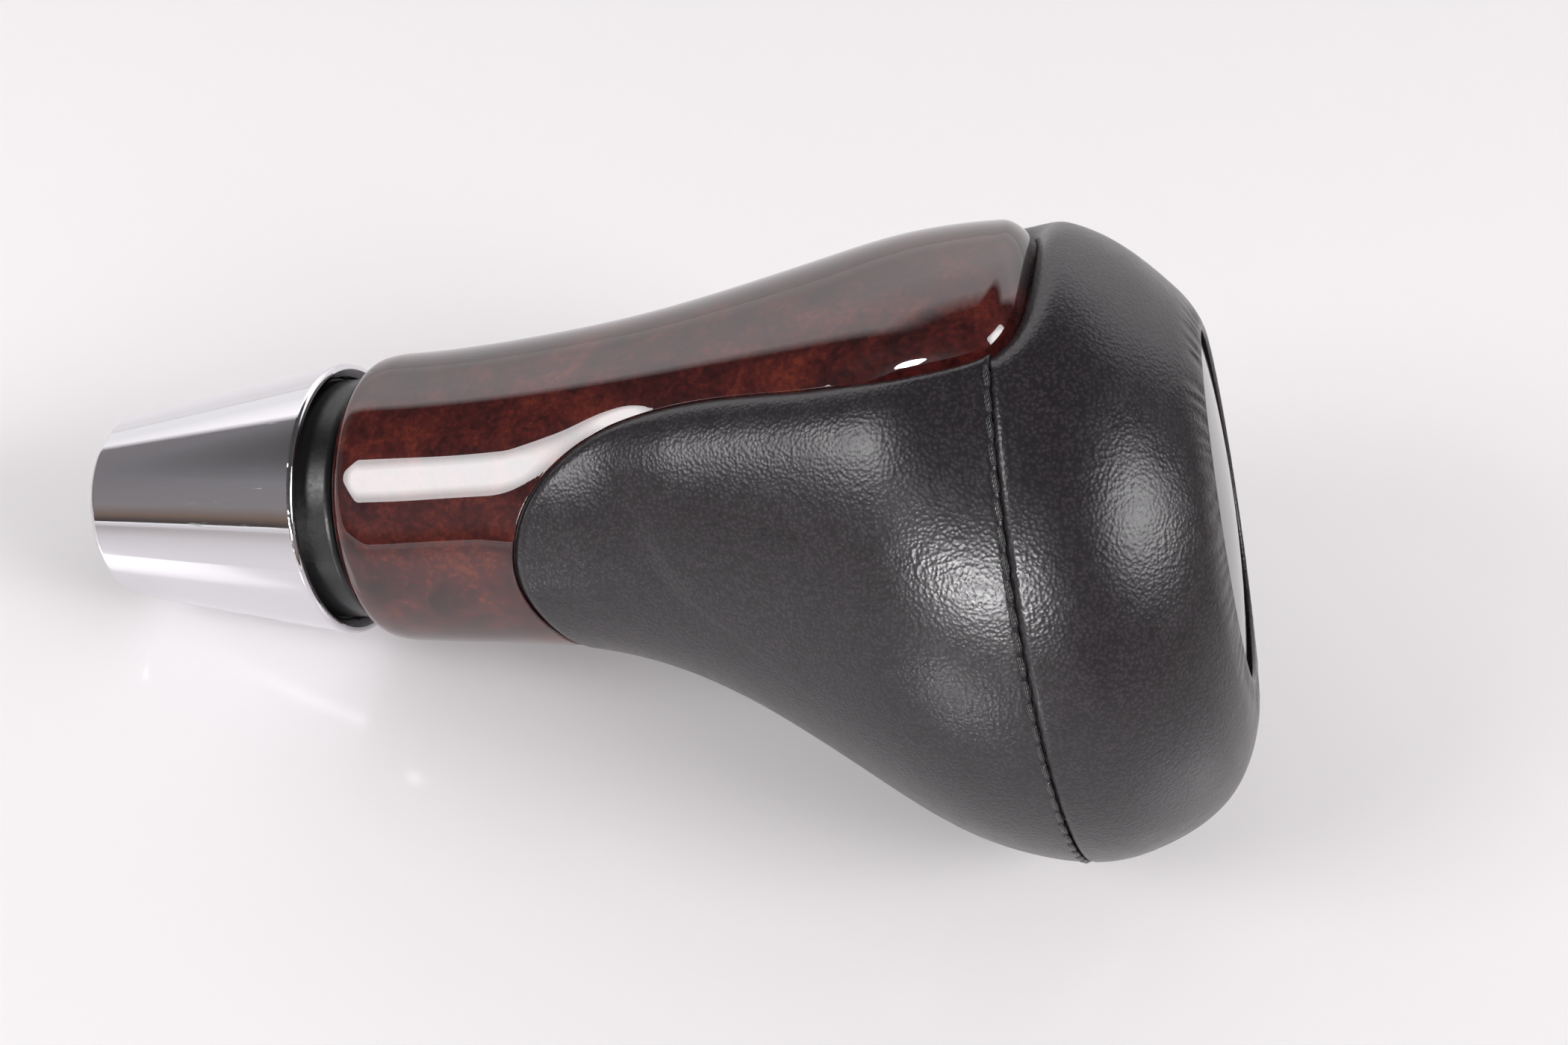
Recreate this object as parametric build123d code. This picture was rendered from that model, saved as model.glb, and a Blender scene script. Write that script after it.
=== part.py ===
from build123d import *
import os
from math import atan2, cos, hypot, pi, radians, sin

# Knob of an automatic gear selector. A wooden collar runs up the front of the head as a tongue, leather
# covers the rest, a bare plate closes the top, and a chromed sleeve at the foot turns to free the lever.
# Frame: +Z up along the lever, the origin at the mouth of the lever bore, the tongue towards -Y.

# Clearances
FIT = 0.1
RUNNING = 0.25

# Lever socket: a moulded tube with two spring fingers at its mouth
BORE_RADIUS = 6.05
BORE_DEPTH = 52.0
MOUTH_CHAMFER = 0.6
SOCKET_WALL = 2.15
SOCKET_ROOF = 8.0
KEYWAY_WIDTH = 2.6
KEYWAY_DEPTH = 1.0
KEYWAY_LENGTH = 30.0
FLANGE_OVERHANG = 2.2
FLANGE_THICKNESS = 3.0
FINGER_SPREAD = 70.0
FINGER_SLOT = 1.2
FINGER_LENGTH = 17.0
PAD_SPREAD = 44.0
PAD_HEIGHT = 0.6
PAD_FOOT = 10.5
PAD_TOP = 13.5

# Chromed sleeve, round the lock ring at its rim and clear of the socket at its foot
SLEEVE_LENGTH = 25.0
SLEEVE_DROP = 5.0
SLEEVE_WALL = 1.3
SLEEVE_FOOT_ROUND = 0.9
SLEEVE_RIM_ROUND = 0.45
SLEEVE_RIM_BEVEL = 0.6

# Lock ring, keyed into the sleeve
COLLAR_GAP = 3.5
RING_FOOT = 9.0
RING_STEP = 15.0
RING_COLLAR_FOOT = 18.5
RING_COLLAR_WALL = 3.75
RING_COLLAR_GAP = 0.5
RING_ROUND = 0.8
LOBE_SPREAD = 50.0
LOBE_HEIGHT = 0.7
KEY_WIDTH = 2.0
KEY_DEPTH = 0.7
KEY_FOOT = 11.0
KEY_TOP = 17.5

# Wire ring that holds the lock ring on the socket
WIRE_RADIUS = 0.5
WIRE_HEIGHT = 19.5
WIRE_OPENING = 5.0

# Outer form of collar and head, section by section: height above the collar's foot, reach to the front,
# reach to the rear, half width, and the tilt of the section about X in degrees
SECTIONS = [
    (0.0, 14.5, 14.5, 14.5, 0.0),
    (8.5, 14.8, 14.9, 14.8, 0.0),
    (18.5, 15.8, 15.2, 15.5, 0.3),
    (28.5, 17.3, 17.1, 16.7, 1.0),
    (38.5, 19.4, 22.1, 19.3, 2.2),
    (48.5, 21.8, 30.1, 23.1, 3.5),
    (57.5, 23.7, 37.0, 26.3, 4.7),
    (66.5, 24.3, 39.7, 27.2, 5.8),
    (72.5, 23.6, 38.2, 26.3, 6.5),
    (77.0, 21.2, 35.5, 24.0, 6.9),
    (80.5, 17.8, 31.5, 21.0, 7.1),
    (82.7, 15.2, 26.0, 17.6, 7.15),
    (83.6, 13.5, 20.5, 14.8, 7.2),
]
SECTION_POINTS = 24

# Seam between the leather wrap and the crown, and the tip of the tongue above it
SEAM_HEIGHT = 66.4
SEAM_TILT = 5.8
TONGUE_RISE = 1.3

# Edge between wood and leather: angle round from the front in degrees, height as a share of the tongue's
WOOD_EDGE = [
    (0, 1.0), (14, 0.997), (25, 0.984), (31.5, 0.959), (35.5, 0.908), (37.8, 0.82), (38, 0.716),
    (36.2, 0.598), (36.6, 0.502), (40.5, 0.421), (48, 0.366), (58, 0.323), (72, 0.291), (90, 0.276),
    (115, 0.291), (145, 0.315), (180, 0.323),
]
SKIN = 3.0
WOOD_FOOT_ROUND = 1.9
WOOD_EDGE_ROUND = 2.0
LEATHER_EDGE_ROUND = 1.0

# Plate on top, let into the crown
PLATE_MARGIN = 0.9
PLATE_GAP = 0.12
PLATE_SINK = 0.2
PLATE_DOME_RADIUS = 150.0
PLATE_ROUND = 0.3
PEG_COUNT = 3
PEG_RADIUS = 1.5
PEG_LENGTH = 4.0
PEG_CIRCLE_RADIUS = 9.0

# Rigid core, and the screw that draws the socket up into it
NECK_HEIGHT = 24.0
STEM_RADIUS = 11.5
STEM_LAP = 1.0
FIN_THICKNESS = 3.0
FIN_REACH = 16.0
FIN_FOOT = 41.0
FIN_TOP = 70.0
TOP_FLANGE_INSET = 1.6
TOP_FLANGE_THICKNESS = 6.0
WELL_RADIUS = 5.0
WEB_THICKNESS = 4.0
SCREW_RADIUS = 2.0
SCREW_HEAD_RADIUS = 3.8
SCREW_HEAD_HEIGHT = 2.4
SCREW_GRIP = 6.0
SCREW_DRIVE = 2.0

# Levels and radii that follow from the sizes above
SLEEVE_FOOT = -SLEEVE_DROP
SLEEVE_RIM = SLEEVE_FOOT + SLEEVE_LENGTH
COLLAR_FOOT = SLEEVE_RIM + COLLAR_GAP
SOCKET_RADIUS = BORE_RADIUS + SOCKET_WALL
SOCKET_TOP = BORE_DEPTH + SOCKET_ROOF
FLANGE_RADIUS = SOCKET_RADIUS + FLANGE_OVERHANG
PAD_RADIUS = SOCKET_RADIUS + PAD_HEIGHT
RING_TOP = COLLAR_FOOT - RUNNING
RING_BORE = SOCKET_RADIUS + RUNNING
RING_COLLAR_RADIUS = RING_BORE + RING_COLLAR_WALL
SLEEVE_RIM_RADIUS = RING_COLLAR_RADIUS + RING_COLLAR_GAP + SLEEVE_WALL
SLEEVE_FOOT_RADIUS = SOCKET_RADIUS + FIT + SLEEVE_WALL
LOBE_RADIUS = PAD_RADIUS + RUNNING
RELIEF_RADIUS = LOBE_RADIUS + LOBE_HEIGHT
WELL_FLOOR = SOCKET_TOP + WEB_THICKNESS
SCREW_END = SOCKET_TOP - SCREW_GRIP
TONGUE_HEIGHT = SEAM_HEIGHT + TONGUE_RISE


def sleeve_radius(height, inset=0.0):
    """Radius of the sleeve's outer cone at a height, less an inset."""
    taper = (SLEEVE_RIM_RADIUS - SLEEVE_FOOT_RADIUS) / SLEEVE_LENGTH
    return SLEEVE_FOOT_RADIUS + taper * (height - SLEEVE_FOOT) - inset


def turned(*points):
    """Solid of revolution about the lever from (radius, height) points."""
    return revolve(Plane.XZ * make_face(Polyline(*points, close=True)), Axis.Z)


def disc(radius, foot, top):
    """Upright cylinder on the lever's axis."""
    return Pos(0, 0, foot) * Cylinder(radius, top - foot, align=(Align.CENTER, Align.CENTER, Align.MIN))


def wedge(spread, radius, foot, top):
    """Sector of a disc, centred on +X."""
    half = radians(spread / 2)
    far = 2 * radius
    corners = [(0, 0), (far * cos(half), -far * sin(half)), (far * cos(half), far * sin(half))]
    outline = make_face(Polyline(*corners, close=True))
    return disc(radius, foot, top) & Pos(0, 0, foot) * extrude(outline, top - foot)


def section_plane(height, tilt):
    """Plane across the axis at a height above the collar's foot, higher at the rear by the tilt."""
    lean = radians(tilt)
    return Plane(origin=(0, 0, COLLAR_FOOT + height), x_dir=(1, 0, 0), z_dir=(0, -sin(lean), cos(lean)))


def section_wire(height, front, rear, half_width, tilt):
    """Oval section of the outer form, starting at the rear."""
    middle = (rear - front) / 2
    reach = (rear + front) / 2
    turns = [pi + 2 * pi * step / SECTION_POINTS for step in range(SECTION_POINTS)]
    points = [Vector(half_width * sin(turn), middle - reach * cos(turn)) for turn in turns]
    return section_plane(height, tilt) * Wire([Edge.make_spline(points, periodic=True)])


def inset_section(index):
    """Section of the space inside the skin: moved in square to the outer form's mean profile."""
    height, front, rear, half_width, tilt = SECTIONS[index]
    below = SECTIONS[max(index - 1, 0)]
    above = SECTIONS[min(index + 1, len(SECTIONS) - 1)]
    narrowing = (below[1] + below[2] - above[1] - above[2]) / 2
    lean = max(atan2(narrowing, above[0] - below[0]), 0)
    inward = SKIN * cos(lean)
    return height - SKIN * sin(lean), front - inward, rear - inward, half_width - inward, tilt


def edge_loop(radius):
    """The wood's upper edge, drawn round the axis at one radius, with steps that suit the neck's girth."""
    mirrored = [(-angle, share) for angle, share in reversed(WOOD_EDGE[1:-1])]
    turns = [(radians(angle), share * TONGUE_HEIGHT) for angle, share in WOOD_EDGE + mirrored]
    points = [Vector(radius * sin(turn), -radius * cos(turn), COLLAR_FOOT + height) for turn, height in turns]
    girth = SECTIONS[0][3]
    steps = [0.0]
    for (turn, height), (next_turn, next_height) in zip(turns, turns[1:] + turns[:1]):
        across = 2 * girth * sin(abs(next_turn - turn) / 2)
        steps.append(steps[-1] + hypot(across, next_height - height))
    return Edge.make_spline(points, periodic=True, parameters=steps)


def plate_seat():
    """Depth of the plate's seat below its rim: the top of the space inside the skin."""
    height, front, rear, half_width, tilt = SECTIONS[-1]
    return (height - inset_section(len(SECTIONS) - 1)[0]) * cos(radians(tilt))


def plate_oval(inset):
    """Oval of the top section, made smaller all round."""
    height, front, rear, half_width, tilt = SECTIONS[-1]
    oval = Ellipse((rear + front) / 2 - inset, half_width - inset, rotation=90)
    return section_plane(height, tilt) * Pos(0, (rear - front) / 2) * oval


def make_sleeve():
    wall = SLEEVE_WALL
    shell = turned(
        (SLEEVE_FOOT_RADIUS - wall, SLEEVE_FOOT),
        (SLEEVE_FOOT_RADIUS, SLEEVE_FOOT),
        (SLEEVE_RIM_RADIUS, SLEEVE_RIM),
        (SLEEVE_RIM_RADIUS - wall, SLEEVE_RIM),
    )
    foot_edges = shell.edges().filter_by(GeomType.CIRCLE).group_by(Axis.Z)[0].sort_by(SortBy.RADIUS)
    shell = fillet(foot_edges[-1], SLEEVE_FOOT_ROUND)
    rim_edges = shell.edges().filter_by(GeomType.CIRCLE).group_by(Axis.Z)[-1].sort_by(SortBy.RADIUS)
    shell = fillet(rim_edges[-1], SLEEVE_RIM_ROUND)
    rim_edges = shell.edges().filter_by(GeomType.CIRCLE).group_by(Axis.Z)[-1].sort_by(SortBy.RADIUS)
    shell = chamfer(rim_edges[0], SLEEVE_RIM_BEVEL)
    return shell + sleeve_keys(0.0)


def sleeve_keys(clearance):
    """Two ribs inside the sleeve, or with a clearance the slots that take them."""
    foot = KEY_FOOT - clearance
    top = KEY_TOP + clearance
    outer = SLEEVE_WALL / 2
    inner = SLEEVE_WALL + KEY_DEPTH + clearance
    band = turned(
        (sleeve_radius(foot, inner), foot),
        (sleeve_radius(foot, outer), foot),
        (sleeve_radius(top, outer), top),
        (sleeve_radius(top, inner), top),
    )
    across = KEY_WIDTH + 2 * clearance
    return band & Pos(0, 0, (foot + top) / 2) * Box(across, 4 * SLEEVE_RIM_RADIUS, top - foot)


def make_lock_ring():
    gap = SLEEVE_WALL + FIT
    body = turned(
        (RELIEF_RADIUS, RING_FOOT),
        (sleeve_radius(RING_FOOT, gap), RING_FOOT),
        (sleeve_radius(RING_COLLAR_FOOT, gap), RING_COLLAR_FOOT),
        (RING_COLLAR_RADIUS, RING_COLLAR_FOOT),
        (RING_COLLAR_RADIUS, RING_TOP),
        (RING_BORE, RING_TOP),
        (RING_BORE, RING_STEP),
        (RELIEF_RADIUS, RING_STEP),
    )
    rim = body.edges().filter_by(GeomType.CIRCLE).group_by(Axis.Z)[-1].sort_by(SortBy.RADIUS)[-1]
    body = fillet(rim, RING_ROUND)
    groove_half = WIRE_RADIUS + RUNNING
    body -= disc(SOCKET_RADIUS + groove_half, WIRE_HEIGHT - groove_half, WIRE_HEIGHT + groove_half)
    lobe = wedge(LOBE_SPREAD, RELIEF_RADIUS + FIT, RING_FOOT, RING_STEP + FIT)
    lobe -= disc(LOBE_RADIUS, RING_FOOT, RING_TOP)
    return body + lobe + Rot(0, 0, 180) * lobe - sleeve_keys(FIT)


def make_retaining_ring():
    wire = Pos(0, 0, WIRE_HEIGHT) * Torus(SOCKET_RADIUS, WIRE_RADIUS)
    return wire - Pos(0, SOCKET_RADIUS, WIRE_HEIGHT) * Box(WIRE_OPENING, SOCKET_RADIUS, 4 * WIRE_RADIUS)


def make_socket():
    body = turned(
        (BORE_RADIUS, -MOUTH_CHAMFER),
        (SOCKET_RADIUS, -MOUTH_CHAMFER),
        (SOCKET_RADIUS, COLLAR_FOOT),
        (FLANGE_RADIUS, COLLAR_FOOT),
        (FLANGE_RADIUS, COLLAR_FOOT + FLANGE_THICKNESS),
        (SOCKET_RADIUS, COLLAR_FOOT + FLANGE_THICKNESS),
        (SOCKET_RADIUS, SOCKET_TOP),
        (0, SOCKET_TOP),
        (0, BORE_DEPTH),
        (BORE_RADIUS, BORE_DEPTH),
    )
    mouth = body.edges().filter_by(GeomType.CIRCLE).group_by(Axis.Z)[0].sort_by(SortBy.RADIUS)[0]
    body = chamfer(mouth, MOUTH_CHAMFER)
    pad = wedge(PAD_SPREAD, PAD_RADIUS, PAD_FOOT, PAD_TOP) - disc(SOCKET_RADIUS - FIT, PAD_FOOT, PAD_TOP)
    body += pad + Rot(0, 0, 180) * pad
    slot = Pos(SOCKET_RADIUS, 0, -MOUTH_CHAMFER) * Box(
        2 * SOCKET_RADIUS, FINGER_SLOT, FINGER_LENGTH, align=(Align.CENTER, Align.CENTER, Align.MIN)
    )
    for side in (0, 180):
        for edge in (-FINGER_SPREAD / 2, FINGER_SPREAD / 2):
            body -= Rot(0, 0, side + edge) * slot
    keyway = Pos(0, -BORE_RADIUS, -MOUTH_CHAMFER) * Box(
        KEYWAY_WIDTH, 2 * KEYWAY_DEPTH, KEYWAY_LENGTH, align=(Align.CENTER, Align.CENTER, Align.MIN)
    )
    groove = Pos(0, 0, WIRE_HEIGHT) * Torus(SOCKET_RADIUS, WIRE_RADIUS)
    return body - keyway - groove - disc(SCREW_RADIUS, SCREW_END, SOCKET_TOP)


def make_screw():
    body = disc(SCREW_RADIUS, SCREW_END, WELL_FLOOR)
    body += disc(SCREW_HEAD_RADIUS, WELL_FLOOR, WELL_FLOOR + SCREW_HEAD_HEIGHT)
    rim = body.edges().filter_by(GeomType.CIRCLE).group_by(Axis.Z)[-1]
    body = fillet(rim, SCREW_HEAD_HEIGHT / 3)
    hexagon = extrude(RegularPolygon(SCREW_DRIVE, 6), SCREW_HEAD_HEIGHT)
    return body - Pos(0, 0, WELL_FLOOR + SCREW_HEAD_HEIGHT / 3) * hexagon


def make_core(inside):
    """Core before its holes: neck, stem, keying fins and the flange under the plate."""
    level = COLLAR_FOOT
    neck = inside & disc(2 * SLEEVE_RIM_RADIUS, level, level + NECK_HEIGHT)
    stem = disc(STEM_RADIUS, level + NECK_HEIGHT - STEM_LAP, level + SECTIONS[-1][0])
    fin_length = FIN_TOP - FIN_FOOT
    fins = Box(2 * FIN_REACH, FIN_THICKNESS, fin_length) + Box(FIN_THICKNESS, 2 * FIN_REACH, fin_length)
    flange = extrude(plate_oval(TOP_FLANGE_INSET), -plate_seat() - TOP_FLANGE_THICKNESS)
    return (neck + stem + Pos(0, 0, level + (FIN_FOOT + FIN_TOP) / 2) * fins + flange) & inside


def peg_places():
    """The pegs' places round the middle of the plate, on its rim's plane."""
    height, front, rear, half_width, tilt = SECTIONS[-1]
    middle = Location(section_plane(height, tilt)) * Pos(0, (rear - front) / 2)
    return [middle * place for place in PolarLocations(PEG_CIRCLE_RADIUS, PEG_COUNT, 90)]


def make_plate():
    oval = plate_oval(PLATE_MARGIN + PLATE_GAP)
    body = extrude(oval, -plate_seat())
    height, front, rear, half_width, tilt = SECTIONS[-1]
    middle = Location(section_plane(height, tilt)) * Pos(0, (rear - front) / 2)
    body &= middle * Pos(0, 0, -PLATE_SINK - PLATE_DOME_RADIUS) * Sphere(PLATE_DOME_RADIUS)
    body = fillet(body.edges().group_by(Axis.Z)[-1], PLATE_ROUND)
    for place in peg_places():
        peg = Cylinder(PEG_RADIUS, PEG_LENGTH, align=(Align.CENTER, Align.CENTER, Align.MAX))
        body += place * Pos(0, 0, -plate_seat()) * peg
    return body


def collar_round():
    """Ring that is taken off the collar's outer foot to round it."""
    radius = SECTIONS[0][3]
    bend = WOOD_FOOT_ROUND
    arc = CenterArc((radius - bend, COLLAR_FOOT + bend), bend, -90, 90)
    corner = Polyline(
        (radius, COLLAR_FOOT + bend),
        (radius + bend, COLLAR_FOOT + bend),
        (radius + bend, COLLAR_FOOT - bend),
        (radius - bend, COLLAR_FOOT - bend),
        (radius - bend, COLLAR_FOOT),
    )
    return revolve(Plane.XZ * make_face([arc, corner]), Axis.Z)


def shared_edges(body, first, second, nearness=0.01):
    """Edges of a solid that lie on both of two faces."""
    found = []
    for edge in body.edges():
        samples = [Vertex(edge @ part) for part in (0.25, 0.5, 0.75)]
        if all(face.distance_to(sample) < nearness for face in (first, second) for sample in samples):
            found.append(edge)
    return found


# The outer form, the skin of wood and leather on it, and the space inside the skin
form = Solid.make_loft([section_wire(*entry) for entry in SECTIONS])
form_side = form.faces().filter_by(GeomType.BSPLINE)[0]
inside = Solid.make_loft([section_wire(*inset_section(index)) for index in range(len(SECTIONS))])
skin = (form - inside).solid()

# The skin is parted along the wood's edge, and the leather above it along the seam
far = 2 * max(rear for height, front, rear, half_width, tilt in SECTIONS)
edge_face = Face.make_surface_from_curves(edge_loop(SOCKET_RADIUS / 2), edge_loop(far))
seam_face = Face.make_rect(far, far, section_plane(SEAM_HEIGHT, SEAM_TILT))
wood, leather = sorted(skin.split(edge_face, Keep.ALL), key=lambda piece: piece.bounding_box().min.Z)
wrap = leather.split(section_plane(SEAM_HEIGHT, SEAM_TILT), Keep.BOTTOM)
crown = leather.split(section_plane(SEAM_HEIGHT, SEAM_TILT), Keep.TOP)

# Their outer edges are rounded, and the crown is cut out for the plate
wood = wood.fillet(WOOD_EDGE_ROUND, shared_edges(wood, form_side, edge_face)) - collar_round()
wrap_edges = shared_edges(wrap, form_side, edge_face) + shared_edges(wrap, form_side, seam_face)
wrap = wrap.fillet(LEATHER_EDGE_ROUND, wrap_edges)
crown_edges = shared_edges(crown, form_side, edge_face) + shared_edges(crown, form_side, seam_face)
crown = crown.fillet(LEATHER_EDGE_ROUND, crown_edges)
pocket = extrude(plate_oval(PLATE_MARGIN), SKIN) + extrude(plate_oval(PLATE_MARGIN), -plate_seat())
crown = crown - pocket

# The core with its holes, and the foam moulded on it
core_blank = make_core(inside)
head_pad = inside - core_blank
core = core_blank - disc(SOCKET_RADIUS + FIT, COLLAR_FOOT, SOCKET_TOP)
core -= disc(FLANGE_RADIUS + FIT, COLLAR_FOOT, COLLAR_FOOT + FLANGE_THICKNESS)
core -= disc(SCREW_RADIUS + FIT, SOCKET_TOP, WELL_FLOOR)
core -= disc(WELL_RADIUS, WELL_FLOOR, COLLAR_FOOT + 2 * SECTIONS[-1][0])
for place in peg_places():
    hole = Cylinder(PEG_RADIUS + FIT, PEG_LENGTH + FIT, align=(Align.CENTER, Align.CENTER, Align.MAX))
    core -= place * Pos(0, 0, -plate_seat()) * hole

pieces = {
    "chrome_sleeve": make_sleeve(),
    "lock_ring": make_lock_ring(),
    "retaining_ring": make_retaining_ring(),
    "lever_socket": make_socket(),
    "core_body": core,
    "core_screw": make_screw(),
    "head_pad": head_pad,
    "wood_trim": wood,
    "leather_wrap": wrap,
    "leather_crown": crown,
    "top_plate": make_plate(),
}
os.makedirs("parts", exist_ok=True)
for name, piece in pieces.items():
    export_step(piece, f"parts/{name}.step")
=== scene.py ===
import bpy
import numpy as np
from mathutils import Matrix, Vector
from mathutils.kdtree import KDTree


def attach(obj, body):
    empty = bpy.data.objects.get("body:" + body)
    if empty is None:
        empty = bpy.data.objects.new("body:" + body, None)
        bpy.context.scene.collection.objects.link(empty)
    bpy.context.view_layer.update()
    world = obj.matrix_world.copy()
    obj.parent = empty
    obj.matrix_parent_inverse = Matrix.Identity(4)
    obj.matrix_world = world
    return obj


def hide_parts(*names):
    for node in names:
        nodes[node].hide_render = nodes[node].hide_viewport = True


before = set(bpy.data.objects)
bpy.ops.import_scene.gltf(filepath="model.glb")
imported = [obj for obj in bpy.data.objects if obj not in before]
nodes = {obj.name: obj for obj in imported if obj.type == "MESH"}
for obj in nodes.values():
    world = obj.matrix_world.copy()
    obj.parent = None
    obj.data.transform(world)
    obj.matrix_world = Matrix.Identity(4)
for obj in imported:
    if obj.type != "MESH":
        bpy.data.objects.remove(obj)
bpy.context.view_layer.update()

# Lever socket, lock ring and wire ring at the foot of the knob. The socket and the lock ring are moulded in
# black plastic with a fine spark-eroded skin, and the wire ring that holds them together is bent spring steel.
# The screw that holds the socket in the core has the same steel.
SPARK_GRAIN = 2600.0
PLASTIC_BLACK = (0.006, 0.006, 0.0065, 1.0)


def new_finish(name):
    """A material with its default node graph: its tree, its shader and a function that adds a node."""
    material = bpy.data.materials.new(name)
    material.use_nodes = True
    tree = material.node_tree
    shader = tree.nodes["Principled BSDF"]

    def add(kind, **sockets):
        node = tree.nodes.new(kind)
        for socket, value in sockets.items():
            node.inputs[socket.replace("_", " ")].default_value = value
        return node

    return material, tree, shader, add


def ramp(tree, add, source, *stops):
    """Colour ramp from (place, colour) stops, driven by a value socket."""
    node = add("ShaderNodeValToRGB")
    elements = node.color_ramp.elements
    elements[0].position, elements[0].color = stops[0]
    elements[1].position, elements[1].color = stops[-1]
    for place, colour in stops[1:-1]:
        elements.new(place).color = colour
    tree.links.new(source, node.inputs["Fac"])
    return node.outputs["Color"]


def grey(value):
    return (value, value, value, 1.0)


def bump(tree, add, height, strength, distance, under=None):
    """Bump from a height socket, over another bump where one is given."""
    node = add("ShaderNodeBump", Strength=strength, Distance=distance)
    tree.links.new(height, node.inputs["Height"])
    if under is not None:
        tree.links.new(under, node.inputs["Normal"])
    return node.outputs["Normal"]


def paint(obj, material):
    obj.data.materials.clear()
    obj.data.materials.append(material)


moulded_black, tree, shader, add = new_finish("moulded_black")
place = add("ShaderNodeTexCoord").outputs["Object"]
spark = add("ShaderNodeTexNoise", Scale=SPARK_GRAIN, Detail=3.0)
tree.links.new(place, spark.inputs["Vector"])
shader.inputs["Base Color"].default_value = PLASTIC_BLACK
roughness = ramp(tree, add, spark.outputs["Fac"], (0.3, grey(0.3)), (0.7, grey(0.42)))
tree.links.new(roughness, shader.inputs["Roughness"])
tree.links.new(bump(tree, add, spark.outputs["Fac"], 0.25, 0.00004), shader.inputs["Normal"])
for name in ("lever_socket", "lock_ring"):
    paint(nodes[name], moulded_black)

spring_steel, tree, shader, add = new_finish("spring_steel")
place = add("ShaderNodeTexCoord").outputs["Object"]
drawn = add("ShaderNodeTexNoise", Scale=1800.0, Detail=2.0)
tree.links.new(place, drawn.inputs["Vector"])
shader.inputs["Metallic"].default_value = 1.0
tint = ramp(tree, add, drawn.outputs["Fac"], (0.3, (0.42, 0.42, 0.43, 1)), (0.7, (0.58, 0.58, 0.59, 1)))
tree.links.new(tint, shader.inputs["Base Color"])
shader.inputs["Roughness"].default_value = 0.28
for name in ("retaining_ring", "core_screw"):
    paint(nodes[name], spring_steel)

# Chromed sleeve: turned, polished and plated, with the fine wiping scratches that handling leaves
# along it. It turns on the socket to free the lever.
chrome, tree, shader, add = new_finish("chrome_plate")
place = add("ShaderNodeTexCoord").outputs["Object"]
shader.inputs["Metallic"].default_value = 1.0
shader.inputs["Base Color"].default_value = (0.74, 0.73, 0.76, 1.0)
stretch = add("ShaderNodeMapping", Scale=(1700.0, 1700.0, 170.0), Rotation=(0.5, 0.35, 0.2))
tree.links.new(place, stretch.inputs["Vector"])
scratch = add("ShaderNodeTexNoise", Scale=1.0, Detail=4.0, Roughness=0.65)
tree.links.new(stretch.outputs["Vector"], scratch.inputs["Vector"])
fine = ramp(tree, add, scratch.outputs["Fac"], (0.60, grey(0.035)), (0.74, grey(0.2)))
tree.links.new(fine, shader.inputs["Roughness"])
paint(nodes["chrome_sleeve"], chrome)

# Core and pad inside the head: a rigid moulded plastic core, screwed to the socket, with the foam cast round
# it in a mould. Neither is seen once the wood and the leather are on.
core_plastic, tree, shader, add = new_finish("core_plastic")
place = add("ShaderNodeTexCoord").outputs["Object"]
flow = add("ShaderNodeTexNoise", Scale=300.0, Detail=2.0)
tree.links.new(place, flow.inputs["Vector"])
tint = ramp(tree, add, flow.outputs["Fac"], (0.3, grey(0.05)), (0.7, grey(0.065)))
tree.links.new(tint, shader.inputs["Base Color"])
shader.inputs["Roughness"].default_value = 0.5
paint(nodes["core_body"], core_plastic)

foam, tree, shader, add = new_finish("cast_foam")
place = add("ShaderNodeTexCoord").outputs["Object"]
cells = add("ShaderNodeTexVoronoi", Scale=900.0)
tree.links.new(place, cells.inputs["Vector"])
tint = ramp(tree, add, cells.outputs["Distance"], (0.1, grey(0.07)), (0.7, grey(0.12)))
tree.links.new(tint, shader.inputs["Base Color"])
shader.inputs["Roughness"].default_value = 0.9
tree.links.new(bump(tree, add, cells.outputs["Distance"], 0.4, 0.0002), shader.inputs["Normal"])
paint(nodes["head_pad"], foam)

# Wood trim: a burl veneer shell under thick clear lacquer, a collar round the neck that runs up the front
# of the head as a tongue. Its edges are rolled down into the groove where the leather meets it.
COLLAR_FOOT = 23.5
FORM_SECTIONS = np.array([
    (0.0, 14.5, 14.5, 14.5, 0.0), (8.5, 14.8, 14.9, 14.8, 0.0), (18.5, 15.8, 15.2, 15.5, 0.3),
    (28.5, 17.3, 17.1, 16.7, 1.0), (38.5, 19.4, 22.1, 19.3, 2.2), (48.5, 21.8, 30.1, 23.1, 3.5),
    (57.5, 23.7, 37.0, 26.3, 4.7), (66.5, 24.3, 39.7, 27.2, 5.8), (72.5, 23.6, 38.2, 26.3, 6.5),
    (77.0, 21.2, 35.5, 24.0, 6.9), (80.5, 17.8, 31.5, 21.0, 7.1), (82.7, 15.2, 26.0, 17.6, 7.15),
    (83.6, 13.5, 20.5, 14.8, 7.2),
])
SEAM_HEIGHT = 66.4
SEAM_TILT = 5.8
TONGUE_HEIGHT = SEAM_HEIGHT + 1.3
WOOD_EDGE = np.array([
    (0, 1.0), (14, 0.997), (25, 0.984), (31.5, 0.959), (35.5, 0.908), (37.8, 0.82), (38, 0.716),
    (36.2, 0.598), (36.6, 0.502), (40.5, 0.421), (48, 0.366), (58, 0.323), (72, 0.291), (90, 0.276),
    (115, 0.291), (145, 0.315), (180, 0.323),
])
NECK_GIRTH = 14.5
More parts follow.
